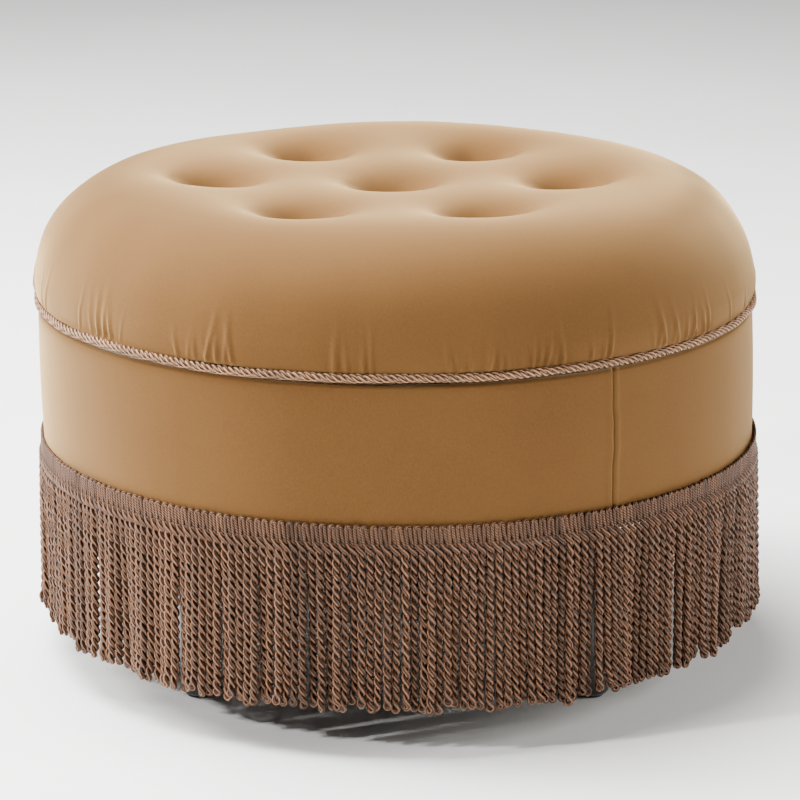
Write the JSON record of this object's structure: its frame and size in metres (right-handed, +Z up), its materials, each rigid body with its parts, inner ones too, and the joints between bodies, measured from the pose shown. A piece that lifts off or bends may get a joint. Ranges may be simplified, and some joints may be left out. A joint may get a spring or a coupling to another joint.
{
  "type": "storage ottoman",
  "caption": "Round velvet storage ottoman: tufted cushion lid hinged at the back of a padded drum, rope cord at the seam, bullion fringe and turned black legs.",
  "frame": {"origin": "on the floor, under the middle of the drum", "axes": "+Z up, -Y the front, +Y the hinge side, +X to the right of a viewer facing the front"},
  "size_m": [0.6188, 0.6229, 0.4136],
  "materials": {
    "velvet": "matte",
    "cord": "matte",
    "fringe": "matte",
    "lining": "matte",
    "dust_cloth": "matte",
    "foam": "matte",
    "wadding": "matte",
    "plywood": "matte",
    "black_wood": "satin",
    "glide_plastic": "matte",
    "steel": "satin",
    "twine": "matte"
  },
  "bodies": {
    "base": {"bottom_panel": "plywood", "drum_wall": "plywood", "rim_ring": "plywood", "dust_cover": "dust_cloth", "drum_padding": "wadding", "drum_velvet": "velvet", "well_lining": "lining", "fringe_header": "fringe", "fringe_skirt": "fringe", "leg_1": "black_wood", "leg_2": "black_wood", "leg_3": "black_wood", "leg_4": "black_wood", "glide_1": "glide_plastic", "glide_2": "glide_plastic", "glide_3": "glide_plastic", "glide_4": "glide_plastic", "leg_plate_1": "steel", "leg_plate_2": "steel", "leg_plate_3": "steel", "leg_plate_4": "steel", "leg_bolt_1": "steel", "leg_bolt_2": "steel", "leg_bolt_3": "steel", "leg_bolt_4": "steel", "hinge_leaf_lower": "steel", "hinge_pin": "steel", "hinge_screw_lower_1": "steel", "hinge_screw_lower_2": "steel", "hinge_screw_lower_3": "steel"},
    "lid": {"lid_velvet": "velvet", "lid_foam": "foam", "lid_board": "plywood", "lid_lining": "lining", "lid_cord": "cord", "hinge_leaf_upper": "steel", "hinge_screw_upper_1": "steel", "hinge_screw_upper_2": "steel", "hinge_screw_upper_3": "steel", "tuft_button_1": "velvet", "tuft_button_2": "velvet", "tuft_button_3": "velvet", "tuft_button_4": "velvet", "tuft_button_5": "velvet", "tuft_button_6": "velvet", "tuft_button_7": "velvet", "tuft_twine_1": "twine", "tuft_twine_2": "twine", "tuft_twine_3": "twine", "tuft_twine_4": "twine", "tuft_twine_5": "twine", "tuft_twine_6": "twine", "tuft_twine_7": "twine"}
  },
  "joints": [
    {"name": "lid_hinge", "type": "hinge", "parent": "base", "child": "lid", "pos_m": [0, 0.3105, 0.3043], "axis": [-1, 0, 0], "range_deg": [0, 90]}
  ]
}
